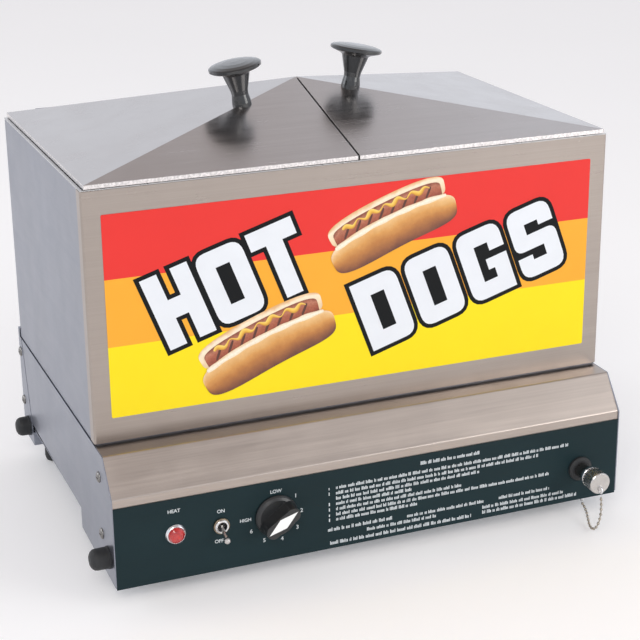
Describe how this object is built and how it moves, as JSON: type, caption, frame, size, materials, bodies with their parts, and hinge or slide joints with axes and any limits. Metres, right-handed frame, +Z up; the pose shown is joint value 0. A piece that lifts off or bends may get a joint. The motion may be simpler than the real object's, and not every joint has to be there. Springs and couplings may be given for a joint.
{
  "type": "hot dog steamer",
  "caption": "Countertop stainless steel hot dog steamer with hinged hip-roof lids, knobs, a water tank with tray and bun rack, and a front control panel with drain.",
  "frame": {"origin": "centre of the bounding box in plan, without the drain chain, at the plane under the four feet", "axes": "+X across the front towards the drain side, +Y from the control panel towards the hinges at the back, +Z up"},
  "size_m": [0.5146, 0.4092, 0.4379],
  "materials": {
    "steel_body": "brushed stainless steel, satin",
    "steel_plain": "mill finish sheet",
    "steel_bright": "bright plated",
    "wire_steel": "drawn wire, satin",
    "panel_black": "satin black with white print",
    "plastic_black": "gloss black moulding",
    "plastic_white": "white print inlay",
    "plastic_dark": "dark moulding",
    "rubber_black": "matt black rubber",
    "decal_film": "printed film with colour bands",
    "lens_red": "red lamp lens",
    "element_sheath": "oxidised heater sheath",
    "brass": "dull brass"
  },
  "bodies": {
    "root": {"base_console": "steel_body", "base_deck": "steel_plain", "base_floor": "steel_plain", "base_side_left": "steel_body", "base_side_right": "steel_body", "bumper_front_left": "rubber_black", "bumper_rear_left": "rubber_black", "cabinet_back": "steel_body", "cabinet_front": "steel_body", "cabinet_side_left": "steel_body", "cabinet_side_right": "steel_body", "chain_anchor": "steel_bright", "compartment_divider": "steel_body", "control_panel": "panel_black", "cord_gland": "plastic_dark", "cover_screws_left": "steel_bright", "cover_screws_right": "steel_bright", "drain_chain": "steel_bright", "drain_collar": "steel_bright", "drain_grommet": "rubber_black", "drain_pipe": "brass", "foot_front_left": "rubber_black", "foot_front_right": "rubber_black", "foot_rear_left": "rubber_black", "foot_rear_right": "rubber_black", "front_decal": "decal_film", "heating_element": "element_sheath", "hinge_leaf_left": "steel_body", "hinge_leaf_right": "steel_body", "hinge_pin_left": "steel_bright", "hinge_pin_right": "steel_bright", "lamp_bezel": "steel_bright", "lamp_body": "plastic_dark", "lamp_lens": "lens_red", "rear_cover": "steel_body", "seam_bar": "steel_body", "side_screws_left": "steel_bright", "side_screws_right": "steel_bright", "terminal_block": "plastic_dark", "thermostat_body": "steel_plain", "toggle_bushing": "steel_bright", "toggle_nut": "steel_bright", "toggle_switch": "plastic_dark", "water_tank": "steel_body"},
    "left_lid": {"lid_left": "steel_body", "knob_left": "plastic_black", "knob_screw_left": "steel_bright", "lid_hinge_leaf_left": "steel_body"},
    "right_lid": {"lid_right": "steel_body", "knob_right": "plastic_black", "knob_screw_right": "steel_bright", "lid_hinge_leaf_right": "steel_body"},
    "dial": {"thermostat_dial": "plastic_black", "dial_pointer": "plastic_white", "thermostat_shaft": "steel_plain"},
    "switch_lever": {"toggle_lever": "steel_bright"},
    "cap": {"drain_cap": "steel_bright", "cap_eye": "steel_bright"},
    "tray": {"hot_dog_tray": "steel_body"},
    "rack": {"bun_rack": "wire_steel"}
  },
  "joints": [
    {"name": "left_lid_hinge", "type": "hinge", "parent": "root", "child": "left_lid", "pos_m": [-0.11434, 0.18765, 0.36125], "axis": [-1, 0, 0], "range_deg": [0, 105]},
    {"name": "right_lid_hinge", "type": "hinge", "parent": "root", "child": "right_lid", "pos_m": [0.12966, 0.18765, 0.36125], "axis": [-1, 0, 0], "range_deg": [0, 105]},
    {"name": "thermostat_turn", "type": "hinge", "parent": "root", "child": "dial", "pos_m": [-0.09234, -0.16395, 0.0593], "axis": [0, -1, 0], "range_deg": [-215, 55]},
    {"name": "toggle_flick", "type": "hinge", "parent": "root", "child": "switch_lever", "pos_m": [-0.14334, -0.16155, 0.0593], "axis": [-1, 0, 0], "range_deg": [0, 56]},
    {"name": "drain_cap_pull", "type": "slide", "parent": "root", "child": "cap", "axis": [0, -1, 0], "range_m": [0, 0.03], "deforming": ["drain_chain"]},
    {"name": "hot_dog_tray_lift", "type": "slide", "parent": "root", "child": "tray", "axis": [0, 0, 1], "range_m": [0, 0.195]},
    {"name": "bun_rack_lift", "type": "slide", "parent": "root", "child": "rack", "axis": [0, 0, 1], "range_m": [0, 0.185]}
  ]
}
